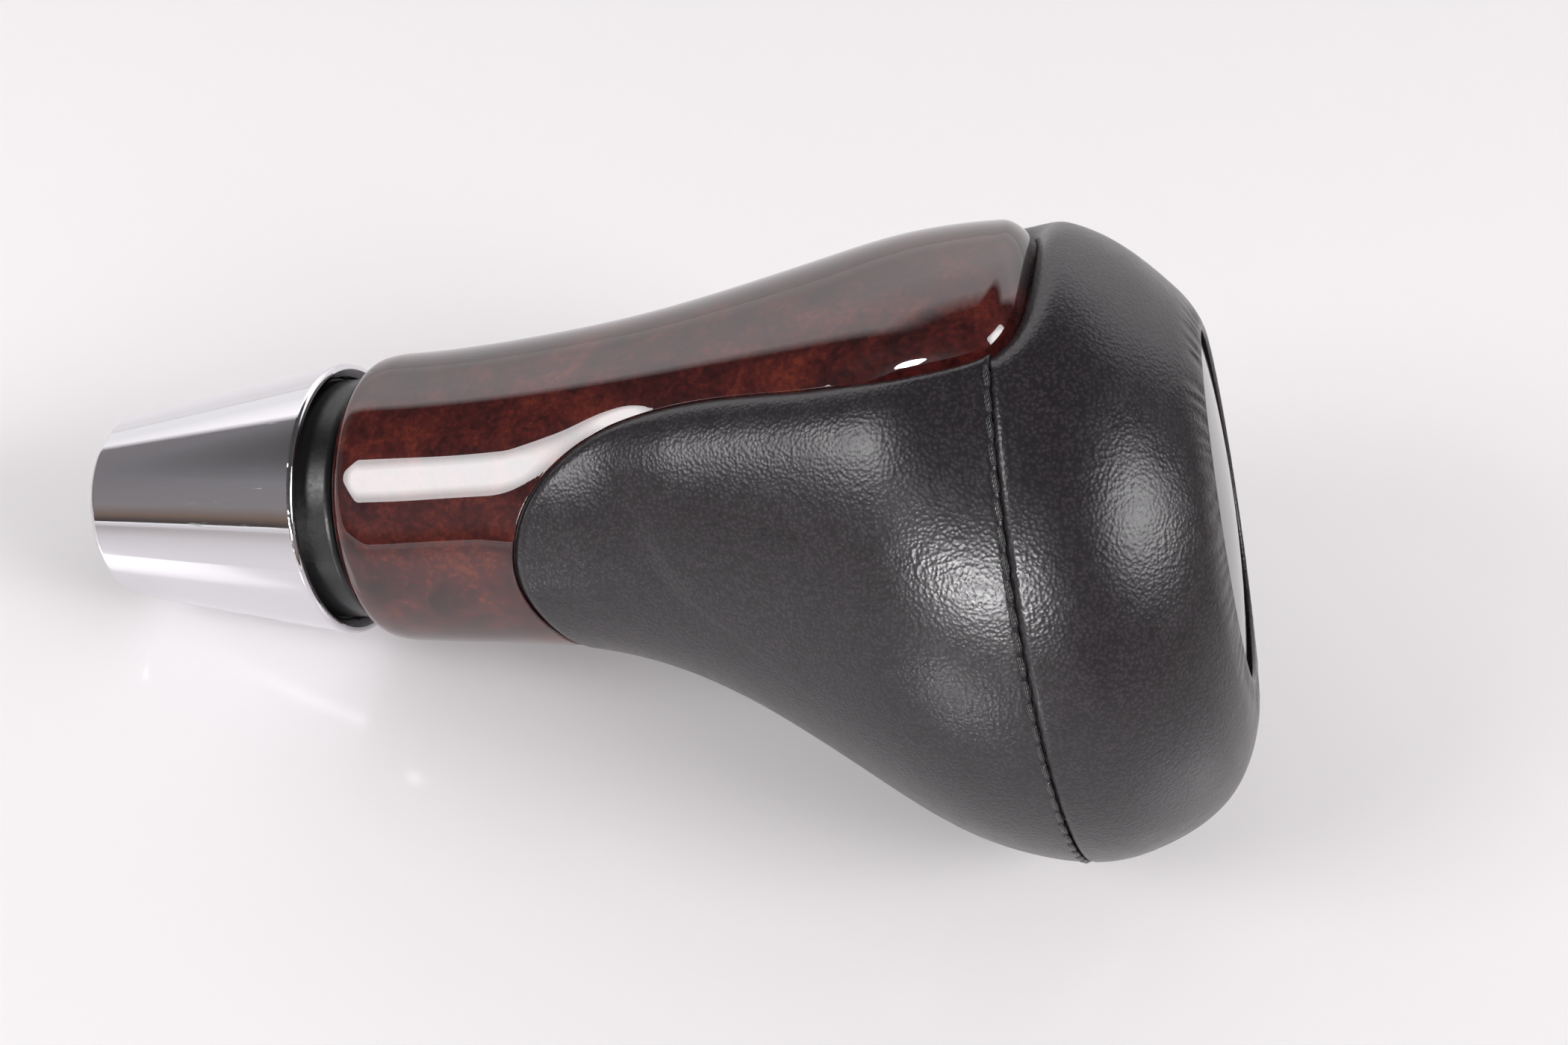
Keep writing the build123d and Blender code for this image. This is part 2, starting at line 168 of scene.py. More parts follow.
# height along the edge, and the width, depth and power with which the lacquer is eased there
EDGE_EASE = np.array([
    (18.5, 3.0, 0.08, 2.0), (21, 4.0, 0.15, 2.0), (23.5, 4.4, 0.3, 2.0), (26, 3.8, 0.4, 2.0),
    (28.5, 3.1, 0.48, 2.0), (31, 2.6, 0.48, 1.8), (35, 3.2, 0.27, 1.8), (51, 3.2, 0.27, 1.8),
    (57, 3.2, 2.2, 1.8), (68, 3.2, 2.3, 1.8),
])
EASE_WINDOW = 91
FOOT_ROLL = 1.9
FOOT_EASE = (4.0, 0.62, 2.0)
WOOD_WALL = 0.8
WOOD_CORNER = 0.46
SPINE_TOP = 60.0
MM = 0.001


def spline(knots, values, closed=False):
    """Cubic curve through values at knots; a closed one comes back to its first value."""
    count = len(knots) - 1 if closed else len(knots)
    gaps = np.diff(knots)
    system, right = np.eye(count), np.zeros((count, values.shape[1]))
    for i in range(0 if closed else 1, count if closed else count - 1):
        before, after = gaps[i - 1], gaps[i]
        system[i, [(i - 1) % count, i, (i + 1) % count]] = before, 2 * (before + after), after
        ahead, behind = values[(i + 1) % count], values[i - 1]
        right[i] = 6 * ((ahead - values[i]) / after - (values[i] - behind) / before)
    bend = np.linalg.solve(system, right)
    if closed:
        values, bend = np.vstack([values[:count], values[:1]]), np.vstack([bend, bend[:1]])

    def at(place):
        i = np.clip(np.searchsorted(knots, place, "right") - 1, 0, len(knots) - 2)
        gap = gaps[i][:, None]
        t = (place - knots[i])[:, None] / gap
        curve = (t**3 - t) * bend[i + 1] + ((1 - t) ** 3 - (1 - t)) * bend[i]
        return (1 - t) * values[i] + t * values[i + 1] + gap**2 / 6 * curve

    return at


form_at = spline(np.arange(len(FORM_SECTIONS), dtype=float), FORM_SECTIONS)


def form_point(level, turn):
    """Points of the outer form, in millimetres, at section levels and turns from the front."""
    height, front, rear, half_width, tilt = form_at(level).T
    tilt = np.radians(tilt)
    along = (rear - front) / 2 - (rear + front) / 2 * np.cos(turn)
    up = COLLAR_FOOT + height + along * np.sin(tilt)
    return np.stack([half_width * np.sin(turn), along * np.cos(tilt), up], 1)


def on_form(angle, height):
    """Section levels and turns at angles round the lever and heights above the collar's foot."""
    level = np.interp(height, FORM_SECTIONS[:, 0], np.arange(len(FORM_SECTIONS)))
    turn = angle.copy()
    top = len(FORM_SECTIONS) - 1.0
    for _ in range(12):
        section, front, rear, half_width, tilt = form_at(level).T
        reach, middle = (rear + front) / 2, (rear - front) / 2
        flat = np.cos(np.radians(tilt)) * np.sin(angle)
        across, deep = half_width * np.cos(angle), reach * flat
        turn = np.arctan2(deep, across) - np.arcsin(np.clip(middle * flat / np.hypot(across, deep), -1, 1))
        here = form_point(level, turn)[:, 2] - COLLAR_FOOT
        step = 1e-3
        ahead = form_point(np.minimum(level + step, top + step), turn)[:, 2] - COLLAR_FOOT
        level = np.clip(level - (here - height) / np.maximum((ahead - here) / step, 0.2), 0, top)
    return level, turn


def form_normal(level, turn):
    """Outward normals of the outer form."""
    step = 1e-3
    up = form_point(level + step, turn) - form_point(level - step, turn)
    round_ = form_point(level, turn + step) - form_point(level, turn - step)
    normal = np.cross(round_, up)
    return normal / np.linalg.norm(normal, axis=1)[:, None]


def wood_edge(places):
    """Angle and height of the wood's upper edge, from the tongue's tip at 0 to the rear at 1."""
    angles = np.radians(np.concatenate([WOOD_EDGE[:, 0], -WOOD_EDGE[-2:0:-1, 0]]))
    heights = np.concatenate([WOOD_EDGE[:, 1], WOOD_EDGE[-2:0:-1, 1]]) * TONGUE_HEIGHT
    around = np.append(angles, angles[0])
    across = 2 * NECK_GIRTH * np.sin(np.abs(np.diff(around)) / 2)
    steps = np.hypot(across, np.diff(np.append(heights, heights[0])))
    knots = np.concatenate([[0.0], np.cumsum(steps)])
    curve = spline(knots, np.stack([np.sin(angles), np.cos(angles), heights], 1), closed=True)
    x, y, height = curve(places * knots[len(WOOD_EDGE) - 1]).T
    return np.arctan2(x, y), height


def evenly(points, count):
    """Shares along a line of points that divide its length evenly."""
    lengths = np.concatenate([[0.0], np.cumsum(np.linalg.norm(np.diff(points, axis=0), axis=1))])
    return np.interp(np.linspace(0, lengths[-1], count), lengths, np.linspace(0, 1, len(points)))


fine_places = np.linspace(0, 1, 2001)
fine_angle, fine_height = wood_edge(fine_places)
fine_edge = form_point(*on_form(fine_angle, fine_height))


def nearest(points, line):
    """Distance of each point from a line or its mirror image, and the index of the nearest point there."""
    whole = np.vstack([line, line * (-1, 1, 1)])
    tree = KDTree(len(whole))
    for i, point in enumerate(whole):
        tree.insert(point, i)
    tree.balance()
    found = [tree.find(point) for point in points]
    return np.array([hit[2] for hit in found]), np.array([hit[1] for hit in found]) % len(line)


def rolled(distance, width, depth):
    """Drop of a rolled edge: nothing past its width, its whole depth at the edge."""
    inside = np.clip(1 - distance / width, 0, 1)
    return depth * (1 - np.sqrt(1 - inside**2))


def eased(distance, width, depth, power):
    """Drop of an eased edge, steepest at the edge itself: a bevel at a power of 1, a soft fall at 2."""
    return depth * np.clip(1 - distance / width, 0, 1) ** power


def blend(value, low, high):
    """Smooth step from 0 at low to 1 at high, or falling where low is the larger."""
    share = np.clip((value - low) / (high - low), 0, 1)
    return share * share * (3 - 2 * share)


def crowded(share, strength):
    """Shares drawn towards both ends, where the rows lie closer."""
    return share - strength * np.sin(2 * np.pi * share) / (2 * np.pi)


def half_skin(name, across, along, shape):
    """Grid primitive laid on the right half of the form by shape(u, v), as points in millimetres."""
    bpy.ops.object.select_all(action="DESELECT")
    bpy.ops.mesh.primitive_grid_add(x_subdivisions=across, y_subdivisions=along, size=2)
    skin = bpy.context.object
    skin.name = skin.data.name = name
    flat = np.empty(len(skin.data.vertices) * 3)
    skin.data.vertices.foreach_get("co", flat)
    u, v = (flat.reshape(-1, 3)[:, :2].T + 1) / 2
    points = shape(np.clip(u, 0, 1), np.clip(v, 0, 1))
    skin.data.vertices.foreach_set("co", (points * MM).ravel())
    skin.data.update()
    return skin


def whole_skin(skin, thickness):
    """The other half by mirror, then the wall's thickness to the inside."""
    bpy.context.view_layer.objects.active = skin
    middle = skin.data.polygons[len(skin.data.polygons) // 2]
    if middle.normal.dot(middle.center - Vector((0, 0, middle.center.z))) < 0:
        bpy.ops.object.mode_set(mode="EDIT")
        bpy.ops.mesh.select_all(action="SELECT")
        bpy.ops.mesh.flip_normals()
        bpy.ops.object.mode_set(mode="OBJECT")
    mirror = skin.modifiers.new("other_half", "MIRROR")
    mirror.use_axis = (True, False, False)
    mirror.merge_threshold = 0.00002
    bpy.ops.object.modifier_apply(modifier=mirror.name)
    wall = skin.modifiers.new("wall", "SOLIDIFY")
    wall.thickness = thickness * MM
    wall.offset = -1
    bpy.ops.object.modifier_apply(modifier=wall.name)
    bpy.ops.object.shade_smooth()


edge_share = evenly(fine_edge, len(fine_places))
even_out = np.hanning(EASE_WINDOW) / np.hanning(EASE_WINDOW).sum()


def evened(column):
    """One column of the edge's easing, at the fine places and with its steps smoothed out."""
    stepped = np.interp(fine_height, EDGE_EASE[:, 0], column)
    return np.convolve(np.pad(stepped, EASE_WINDOW // 2, mode="reflect"), even_out, mode="valid")


ease_along = [evened(column) for column in EDGE_EASE[:, 1:].T]


def edge_ease(places):
    """Width, depth and power of the easing at indices of the fine edge."""
    return [column[places] for column in ease_along]


def shape_wood(u, v):
    edge_angle, edge_height = wood_edge(np.interp(u, fine_places, edge_share))
    on_spine = u < WOOD_CORNER
    start_angle = np.where(on_spine, 0, (u - WOOD_CORNER) / (1 - WOOD_CORNER) * np.pi)
    start_height = np.where(on_spine, SPINE_TOP * (1 - u / WOOD_CORNER), 0)
    at_foot = blend(u, WOOD_CORNER - 0.1, WOOD_CORNER)
    share = crowded(v, 0.8) * at_foot + v * (1.85 - 0.85 * v) * (1 - at_foot)
    angle = start_angle + (edge_angle - start_angle) * share
    height = start_height + (edge_height - start_height) * share
    level, turn = on_form(angle, height)
    points, normal = form_point(level, turn), form_normal(level, turn)
    distance, place = nearest(points, fine_edge)
    from_foot = points[:, 2] - COLLAR_FOOT
    foot_drop = rolled(from_foot, FOOT_ROLL, FOOT_ROLL) + eased(from_foot, *FOOT_EASE)
    drop = eased(distance, *edge_ease(place)) + foot_drop
    return points - normal * drop[:, None]


wood_shell = half_skin("wood_shell", 330, 64, shape_wood)
whole_skin(wood_shell, WOOD_WALL)

burl, tree, shader, add = new_finish("burl_veneer")
place = add("ShaderNodeTexCoord").outputs["Object"]
figure = add("ShaderNodeTexNoise", Scale=75.0, Detail=3.0, Roughness=0.5, Distortion=0.9)
mottle = add("ShaderNodeTexNoise", Scale=330.0, Detail=5.0, Roughness=0.68, Distortion=0.5)
pores = add("ShaderNodeTexNoise", Scale=1900.0, Detail=2.0)
for node in (figure, mottle, pores):
    tree.links.new(place, node.inputs["Vector"])
two = add("ShaderNodeMix")
two.inputs["Factor"].default_value = 0.55
tree.links.new(figure.outputs["Fac"], two.inputs["A"])
tree.links.new(mottle.outputs["Fac"], two.inputs["B"])
three = add("ShaderNodeMix")
three.inputs["Factor"].default_value = 0.2
tree.links.new(two.outputs["Result"], three.inputs["A"])
tree.links.new(pores.outputs["Fac"], three.inputs["B"])
tint = ramp(
    tree, add, three.outputs["Result"],
    (0.41, (0.0155, 0.0033, 0.0036, 1)), (0.49, (0.038, 0.0065, 0.0063, 1)),
    (0.56, (0.070, 0.0116, 0.0087, 1)), (0.67, (0.142, 0.027, 0.013, 1)),
)
tree.links.new(tint, shader.inputs["Base Color"])
shader.inputs["Roughness"].default_value = 0.4
shader.inputs["Specular IOR Level"].default_value = 0.0
shader.inputs["Coat Weight"].default_value = 1.0
shader.inputs["Coat Roughness"].default_value = 0.02
shader.inputs["Coat IOR"].default_value = 1.75
paint(wood_shell, burl)
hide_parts("wood_trim")
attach(wood_shell, "knob")

# Leather wrap: the lower leather panel, cut as an open band, stretched round the foam from one side of the
# tongue to the other and tucked into the groove along the wood. Its upper edge is sewn to the crown.
GRAIN_PITCH = 0.00033
LEATHER_WALL = 0.5
EDGE_ROLL = 1.3
EDGE_TUCK = 1.0
BELOW_WOOD = 0.15
WRAP_SEAM_ROLL = (0.7, 0.5)
SWELL = 0.9
SWELL_REACH = 4.0
SWELL_HEIGHTS = (24, 36)
SWELL_END = 10


def seam_heights(angle):
    """Heights at which the seam's plane crosses the form at angles round the lever."""
    height = np.full(len(angle), SEAM_HEIGHT)
    for _ in range(8):
        y = form_point(*on_form(angle, height))[:, 1]
        height = SEAM_HEIGHT + y * np.tan(np.radians(SEAM_TILT))
    return height


above = fine_height - seam_heights(fine_angle) > 0
meeting = fine_places[above].max()
meeting_angle = wood_edge(np.array([meeting]))[0][0]
lower_edge = form_point(*on_form(*wood_edge(np.linspace(meeting, 1, 1500))))
lower_share = meeting + (1 - meeting) * evenly(lower_edge, 1500)
seam_angles = np.linspace(meeting_angle, np.pi, 1500)
seam_line = form_point(*on_form(seam_angles, seam_heights(seam_angles)))
seam_share = meeting_angle + (np.pi - meeting_angle) * evenly(seam_line, 1500)
even = np.linspace(0, 1, 1500)


def shape_wrap(u, v):
    low_angle, low_height = wood_edge(np.interp(u, even, lower_share))
    high_angle = np.interp(u, even, seam_share)
    high_height = seam_heights(high_angle)
    share = crowded(v, 0.8)
    angle = low_angle + (high_angle - low_angle) * share
    height = low_height + (high_height - low_height) * share
    level, turn = on_form(angle, height)
    points, normal = form_point(level, turn), form_normal(level, turn)
    to_edge, place = nearest(points, fine_edge)
    to_seam = nearest(points, seam_line)[0]
    depth = np.maximum(EDGE_TUCK, edge_ease(place)[1] + BELOW_WOOD)
    drop = np.maximum(rolled(to_edge, EDGE_ROLL, depth), rolled(to_seam, *WRAP_SEAM_ROLL))
    swell = SWELL * to_edge / SWELL_REACH * np.exp(1 - to_edge / SWELL_REACH)
    drop -= swell * blend(fine_height[place], *SWELL_HEIGHTS) * blend(to_seam, 0, SWELL_END)
    return points - normal * drop[:, None]


leather_band = half_skin("leather_band", 230, 90, shape_wrap)
whole_skin(leather_band, LEATHER_WALL)

grained, tree, shader, add = new_finish("grained_leather")
place = add("ShaderNodeTexCoord").outputs["Object"]
warp = add("ShaderNodeTexNoise", Scale=1400.0, Detail=2.0)
tree.links.new(place, warp.inputs["Vector"])
bent = add("ShaderNodeVectorMath")
bent.operation = "MULTIPLY_ADD"
bent.inputs[1].default_value = (0.0002, 0.0002, 0.0002)
tree.links.new(warp.outputs["Color"], bent.inputs[0])
tree.links.new(place, bent.inputs[2])
pebble = add("ShaderNodeTexVoronoi", Scale=1 / GRAIN_PITCH)
pebble.feature = "SMOOTH_F1"
pebble.inputs["Smoothness"].default_value = 0.5
tree.links.new(bent.outputs["Vector"], pebble.inputs["Vector"])
crease = add("ShaderNodeTexNoise", Scale=420.0, Detail=4.0, Roughness=0.6)
tree.links.new(place, crease.inputs["Vector"])
tint = ramp(
    tree, add, crease.outputs["Fac"],
    (0.35, (0.024, 0.0205, 0.024, 1)), (0.65, (0.033, 0.028, 0.0325, 1)),
)
# The pebble's pits are darkened in the base colour over the leather's own tone: painted shade in the hollows
# of the grain.
painted_pit_shade = ramp(tree, add, pebble.outputs["Distance"], (0.2, grey(1)), (0.6, grey(0)))
pit_shaded = add("ShaderNodeMix")
pit_shaded.data_type = "RGBA"
tree.links.new(painted_pit_shade, pit_shaded.inputs["Factor"])
pit_shaded.inputs[6].default_value = (0.013, 0.011, 0.013, 1)
tree.links.new(tint, pit_shaded.inputs[7])
tree.links.new(pit_shaded.outputs[2], shader.inputs["Base Color"])
gloss = ramp(tree, add, crease.outputs["Fac"], (0.35, grey(0.27)), (0.65, grey(0.33)))
tree.links.new(gloss, shader.inputs["Roughness"])
creased = bump(tree, add, crease.outputs["Fac"], 0.10, 0.0003)
pebbled = bump(tree, add, pebble.outputs["Distance"], 0.24, 0.00013, under=creased)
tree.links.new(pebbled, shader.inputs["Normal"])
paint(leather_band, grained)
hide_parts("leather_wrap")
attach(leather_band, "knob")

# Leather crown: the upper panel, sewn to the wrap, folded in over the tongue's tip and drawn in under the
# plate, where the surplus gathers into fine puckers.
TIP_ROLL = (3.0, 2.8)
CROWN_SEAM_ROLL = (0.8, 0.55)
RIM_ROLL = (0.5, 0.5)
RIM_DIP = 0.38
PUCKER_PITCH = 1.6
PUCKER_DEPTH = 0.06
tip_line = form_point(*on_form(*wood_edge(np.linspace(0, meeting, 400))))


def shape_crown(u, v):
    angle = np.pi * crowded(u, 0.35)
    order = np.argsort(fine_angle[above])
    tip_height = np.interp(angle, fine_angle[above][order], fine_height[above][order])
    low_height = np.where(angle < meeting_angle, tip_height, seam_heights(angle))
    low_level, low_turn = on_form(angle, low_height)
    top = len(FORM_SECTIONS) - 1.0
    share = crowded(v, 0.8)
    level = low_level + (top - low_level) * share
    turn = low_turn + (angle - low_turn) * share
    points, normal = form_point(level, turn), form_normal(level, turn)
    rim = form_point(np.full(1200, top), np.linspace(0, np.pi, 1200))
    rim_run = np.concatenate([[0.0], np.cumsum(np.linalg.norm(np.diff(rim, axis=0), axis=1))])
    to_rim, on_rim = nearest(points, rim)
    to_tip, to_seam = nearest(points, tip_line)[0], nearest(points, seam_line)[0]
    drop = np.maximum(rolled(to_tip, *TIP_ROLL), rolled(to_seam, *CROWN_SEAM_ROLL))
    drop = np.maximum(drop, rolled(to_rim, *RIM_ROLL))
    drop += RIM_DIP * blend(to_rim, 4.5, 0.6)
    run = rim_run[on_rim] / PUCKER_PITCH
    gather = np.cos(2 * np.pi * (run + 0.35 * np.sin(0.9 * run) + 0.2 * np.sin(2.3 * run + 1)))
    fades_out = blend(to_rim, 4.0 + 0.8 * np.sin(1.7 * run), 1.5)
    drop += PUCKER_DEPTH * gather * fades_out * blend(to_rim, 0.2, 1.4)
    return points - normal * drop[:, None]


leather_cap = half_skin("leather_cap", 250, 85, shape_crown)
whole_skin(leather_cap, LEATHER_WALL)
paint(leather_cap, grained)
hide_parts("leather_crown")
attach(leather_cap, "knob")

# Seam thread: one row of machine stitches in bonded black thread along the seam, sunk into the groove on the
# wrap's side of it.
STITCH_LENGTH = 2.0
STITCH_PITCH = 2.25
STITCH_SLANT = 0.07
THREAD_RADIUS = 0.31
END_DIP = 0.12
BESIDE_SEAM = 0.3
INTO_GROOVE = 0.16
SEAM_END = 1.7
bpy.ops.object.select_all(action="DESELECT")
bpy.ops.mesh.primitive_uv_sphere_add(segments=12, ring_count=14, radius=THREAD_RADIUS * MM)
stitch = bpy.context.object
for vertex in stitch.data.vertices:
    end = vertex.co.z / (THREAD_RADIUS * MM)
    vertex.co.z += np.sign(end) * (STITCH_LENGTH / 2 - THREAD_RADIUS) * MM * min(1, abs(end) * 1.6)
    vertex.co.y -= END_DIP * MM * abs(end) ** 3
bpy.ops.object.shade_smooth()
both_sides = np.vstack([seam_line[:-1], (seam_line * (-1, 1, 1))[::-1]])
seam_run = np.concatenate([[0.0], np.cumsum(np.linalg.norm(np.diff(both_sides, axis=0), axis=1))])
count = int((seam_run[-1] - 2 * SEAM_END) / STITCH_PITCH)
stitches = []
for step in range(count):
    run = SEAM_END + (step + 0.5) * (seam_run[-1] - 2 * SEAM_END) / count
    middle, ahead, behind = (
        np.array([np.interp(run + offset, seam_run, both_sides[:, axis]) for axis in range(3)])
        for offset in (0, 0.5, -0.5)
    )
    along = (ahead - behind) / np.linalg.norm(ahead - behind)
    round_axis = np.array([np.arctan2(middle[0], -middle[1])])
    out = form_normal(*on_form(np.abs(round_axis), np.array([middle[2] - COLLAR_FOOT])))[0]
    out *= (np.sign(middle[0]) or 1, 1, 1)
    out -= along * out.dot(along)
    out /= np.linalg.norm(out)
    down = np.cross(out, along)
    down *= -np.sign(down[2])
    place = middle + BESIDE_SEAM * down - INTO_GROOVE * out
    axes = Matrix((Vector(out).cross(Vector(along)), Vector(out), Vector(along))).transposed().to_4x4()
    slant = Matrix.Rotation(STITCH_SLANT, 4, "Y")
    copy = bpy.data.objects.new("stitch", stitch.data.copy())
    bpy.context.collection.objects.link(copy)
    copy.data.transform(Matrix.Translation(Vector(place * MM)) @ axes @ slant)
    stitches.append(copy)
bpy.data.objects.remove(stitch)
for copy in stitches:
    copy.select_set(True)
bpy.context.view_layer.objects.active = stitches[0]
bpy.ops.object.join()
seam_thread = bpy.context.object
seam_thread.name = seam_thread.data.name = "seam_thread"

bonded, tree, shader, add = new_finish("bonded_thread")
place = add("ShaderNodeTexCoord").outputs["UV"]
twist = add("ShaderNodeMapping", Rotation=(0.0, 0.0, 0.6), Scale=(3.0, 6.0, 1.0))
tree.links.new(place, twist.inputs["Vector"])
plies = add("ShaderNodeTexWave", Scale=1.0)
tree.links.new(twist.outputs["Vector"], plies.inputs["Vector"])
tint = ramp(tree, add, plies.outputs["Fac"], (0.2, grey(0.008)), (0.8, grey(0.05)))
tree.links.new(tint, shader.inputs["Base Color"])
shader.inputs["Roughness"].default_value = 0.26
tree.links.new(bump(tree, add, plies.outputs["Fac"], 0.5, 0.0001), shader.inputs["Normal"])
paint(seam_thread, bonded)
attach(seam_thread, "knob")

# Top plate: a gloss black moulding, slightly domed and left bare, pressed into the opening of the crown so
# that it holds down the leather's drawn-in edge.
gloss_black, tree, shader, add = new_finish("gloss_black")
place = add("ShaderNodeTexCoord").outputs["Object"]
haze = add("ShaderNodeTexNoise", Scale=500.0, Detail=4.0)
tree.links.new(place, haze.inputs["Vector"])
shader.inputs["Base Color"].default_value = (0.01, 0.01, 0.011, 1.0)
wiped = ramp(tree, add, haze.outputs["Fac"], (0.4, grey(0.05)), (0.7, grey(0.09)))
tree.links.new(wiped, shader.inputs["Roughness"])
paint(nodes["top_plate"], gloss_black)

# Table: the knob lies on a white gloss table, on the palm side of its head and the foot of its sleeve. Seen
# from below, the table lets the view through.
TABLE_UP = Vector((0.28653, -0.91290, 0.29073)).normalized()
TABLE_NEAR = Vector((0.95289, 0.30305, 0.01248)).normalized()
TABLE_RIGHT = TABLE_UP.cross(TABLE_NEAR)
TABLE_HEIGHT = -0.0107
bpy.ops.object.select_all(action="DESELECT")
bpy.ops.mesh.primitive_grid_add(x_subdivisions=8, y_subdivisions=8, size=4)
table = bpy.context.object
table.name = "table"
onto_table = Matrix.Translation(TABLE_UP * TABLE_HEIGHT)
onto_table @= Matrix((TABLE_RIGHT, -TABLE_NEAR, TABLE_UP)).transposed().to_4x4()
table.data.transform(onto_table)
white_gloss, tree, shader, add = new_finish("white_gloss")
shader.inputs["Base Color"].default_value = (0.89, 0.868, 0.877, 1.0)
shader.inputs["Roughness"].default_value = 0.12
side_of = add("ShaderNodeNewGeometry").outputs["Backfacing"]
clear = add("ShaderNodeBsdfTransparent")
either = add("ShaderNodeMixShader")
tree.links.new(side_of, either.inputs[0])
tree.links.new(shader.outputs["BSDF"], either.inputs[1])
tree.links.new(clear.outputs["BSDF"], either.inputs[2])
tree.links.new(either.outputs["Shader"], tree.nodes["Material Output"].inputs["Surface"])
paint(table, white_gloss)

# Studio light: a softbox on the left, a small low one beside the camera and one on the right, in a dim tent
# that is open to a pale room behind the table. Only reflections see the tent, and the soft light of the room
# comes from the world, more of it from behind.
CENTRE = Vector((0.005, 0.0, 0.06))
BOX_DISTANCE = 0.9
RIM_GLOW = 0.55
TENT_RADIUS = 1.4
TENT_FOOT = 0.03


def toward(azimuth, elevation):
    """Direction above the table: azimuth 0 is away from the camera, and 90 is to the right."""
    a, e = np.radians(azimuth), np.radians(elevation)
    flat = TABLE_RIGHT * float(np.sin(a)) - TABLE_NEAR * float(np.cos(a))
    return flat * float(np.cos(e)) + TABLE_UP * float(np.sin(e))


def softbox(name, azimuth, elevation, width, height, corner, strength):
    """Rounded white diffuser, dimmer towards its rim, sizes in degrees as seen from the object."""
    bpy.ops.object.select_all(action="DESELECT")
    bpy.ops.mesh.primitive_plane_add(size=1)
    box = bpy.context.object
    box.name = box.data.name = name
    wide, high = (2 * BOX_DISTANCE * float(np.tan(np.radians(angle) / 2)) for angle in (width, height))
    box.data.transform(Matrix.Diagonal((wide, high, 1, 1)))
    bpy.ops.object.mode_set(mode="EDIT")
    bpy.ops.mesh.select_all(action="SELECT")
    bpy.ops.mesh.bevel(offset=BOX_DISTANCE * float(np.radians(corner)), segments=8, affect="VERTICES")
    bpy.ops.object.mode_set(mode="OBJECT")
    out = toward(azimuth, elevation)
    flat = TABLE_UP.cross(out).normalized()
    turn = Matrix((-flat, out.cross(flat), -out)).transposed().to_4x4()
    box.data.transform(Matrix.Translation(CENTRE + out * BOX_DISTANCE) @ turn)
    cloth, tree, shader, add = new_finish(name)
    shader.inputs["Base Color"].default_value = grey(0)
    shader.inputs["Emission Color"].default_value = (1.0, 0.99, 1.0, 1.0)
    across = add("ShaderNodeMapping", Location=(-1.0, -1.0, 0.0), Scale=(2.0, 2.0, 1.0))
    tree.links.new(add("ShaderNodeTexCoord").outputs["UV"], across.inputs["Vector"])
    from_rim = add("ShaderNodeTexGradient")
    from_rim.gradient_type = "SPHERICAL"
    tree.links.new(across.outputs["Vector"], from_rim.inputs["Vector"])
    glow = add("ShaderNodeMapRange", From_Max=0.45, To_Min=RIM_GLOW * strength, To_Max=strength)
    tree.links.new(from_rim.outputs["Fac"], glow.inputs["Value"])
    tree.links.new(glow.outputs["Result"], shader.inputs["Emission Strength"])
    cloth.cycles.emission_sampling = "FRONT_BACK"
    paint(box, cloth)
    box.visible_camera = False
    box.visible_shadow = False
    return box


softbox("key_softbox", -118, 33, 26, 21, 6, 10.6)
low_softbox = softbox("low_softbox", -165.5, 18, 10, 12, 3, 70.0)
# only the table blocks the low softbox, so that no shadow of the knob lies behind it
low_blockers = bpy.data.collections.new("low_blockers")
low_blockers.objects.link(table)
low_softbox.light_linking.blocker_collection = low_blockers
softbox("right_softbox", 108, 35, 32, 20, 5, 10.6)

bpy.ops.object.select_all(action="DESELECT")
bpy.ops.mesh.primitive_uv_sphere_add(segments=96, ring_count=64, radius=TENT_RADIUS)
tent = bpy.context.object
tent.name = tent.data.name = "dim_tent"
bpy.ops.object.mode_set(mode="EDIT")
bpy.ops.mesh.select_all(action="SELECT")
bpy.ops.mesh.bisect(plane_co=(0, 0, TENT_FOOT), plane_no=(0, 0, 1), clear_inner=True)
bpy.ops.object.mode_set(mode="OBJECT")
tent.data.transform(onto_table)
cloth, tree, shader, add = new_finish("dim_cloth")
place = add("ShaderNodeTexCoord").outputs["Object"]


def share_along(direction):
    """Share of the tent's radius along a direction."""
    node = add("ShaderNodeVectorMath")
    node.operation = "DOT_PRODUCT"
    node.inputs[1].default_value = direction.normalized() / TENT_RADIUS
    tree.links.new(place, node.inputs[0])
    return node.outputs["Value"]


def both(first, second):
    """Product of two value sockets."""
    node = add("ShaderNodeMath")
    node.operation = "MULTIPLY"
    tree.links.new(first, node.inputs[0])
    tree.links.new(second, node.inputs[1])
    return node.outputs["Value"]


rise = share_along(TABLE_UP)
shades = ramp(
    tree, add, rise,
    (0.03, (0.05, 0.04, 0.036, 1)), (0.10, (0.19, 0.13, 0.10, 1)), (0.19, (0.24, 0.22, 0.22, 1)),
    (0.36, (0.20, 0.19, 0.20, 1)), (0.48, (0.04, 0.04, 0.04, 1)),
)
left_side = share_along(toward(-67, 0).cross(toward(-57, 40)))
right_side = share_along(TABLE_UP.cross(toward(60, 0)))
opening = both(
    both(
        ramp(tree, add, left_side, (0.03, grey(0)), (0.11, grey(1))),
        ramp(tree, add, right_side, (0.0, grey(0)), (0.14, grey(1))),
    ),
    ramp(tree, add, rise, (0.66, grey(1)), (0.76, grey(0))),
)
room = add("ShaderNodeMix")
room.data_type = "RGBA"
tree.links.new(opening, room.inputs["Factor"])
tree.links.new(shades, room.inputs[6])
wall = ramp(tree, add, rise, (0.14, (1.0, 0.985, 0.99, 1.0)), (0.42, (1.5, 1.45, 1.48, 1.0)))
tree.links.new(wall, room.inputs[7])
tree.links.new(room.outputs[2], shader.inputs["Emission Color"])
shader.inputs["Base Color"].default_value = grey(0)
shader.inputs["Emission Strength"].default_value = 1.0
cloth.cycles.emission_sampling = "NONE"
paint(tent, cloth)
tent.visible_camera = False
tent.visible_diffuse = False
tent.visible_shadow = False
tent.visible_transmission = False

